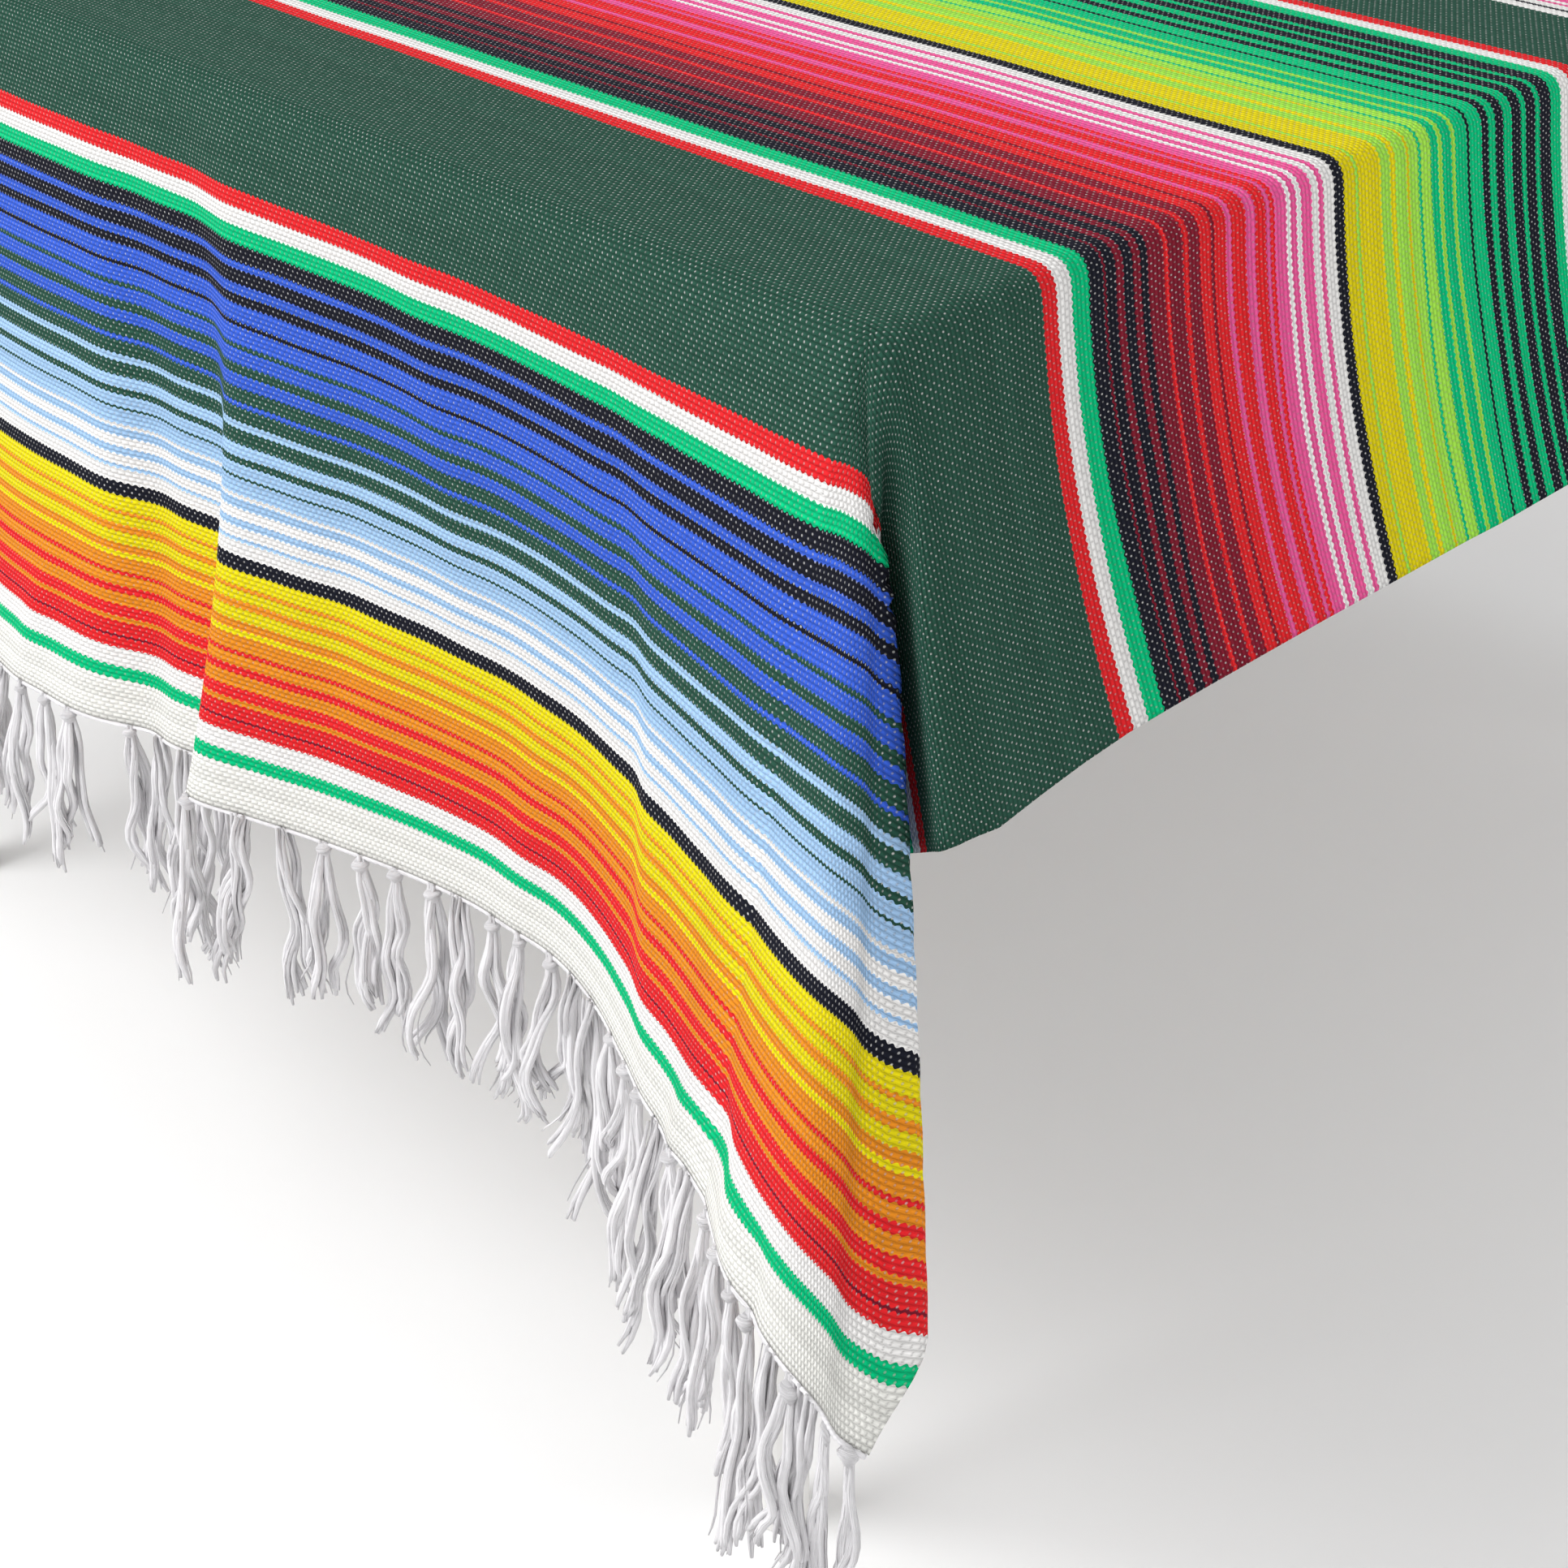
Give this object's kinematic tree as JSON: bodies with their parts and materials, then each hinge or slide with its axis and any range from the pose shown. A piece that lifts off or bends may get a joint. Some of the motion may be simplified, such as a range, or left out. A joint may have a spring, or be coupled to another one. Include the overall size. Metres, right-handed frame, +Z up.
{
  "type": "mexican serape on a table",
  "caption": "Striped woven blanket with knotted fringe at both ends, draped over a plain four-legged table as its cloth, with folded ears at the corners.",
  "frame": {"origin": "on the floor, at the middle of the bounding box", "axes": "+Z up, +Y along the length of the cloth from the front fringe to the back fringe, +X to the right as seen from the front fringe"},
  "size_m": [1.4006, 1.5652, 0.7473],
  "materials": {
    "serape_weave": "matt weft-faced weave in coloured stripes with small white warp dots",
    "fringe_yarn": "soft matt undyed cotton yarn",
    "table_paint": "plain off-white satin paint"
  },
  "bodies": {
    "root": {"serape_cloth": "serape_weave", "fringe_front": "fringe_yarn", "fringe_back": "fringe_yarn", "table_top": "table_paint", "table_leg_front_left": "table_paint", "table_leg_front_right": "table_paint", "table_leg_back_left": "table_paint", "table_leg_back_right": "table_paint"}
  },
  "joints": []
}
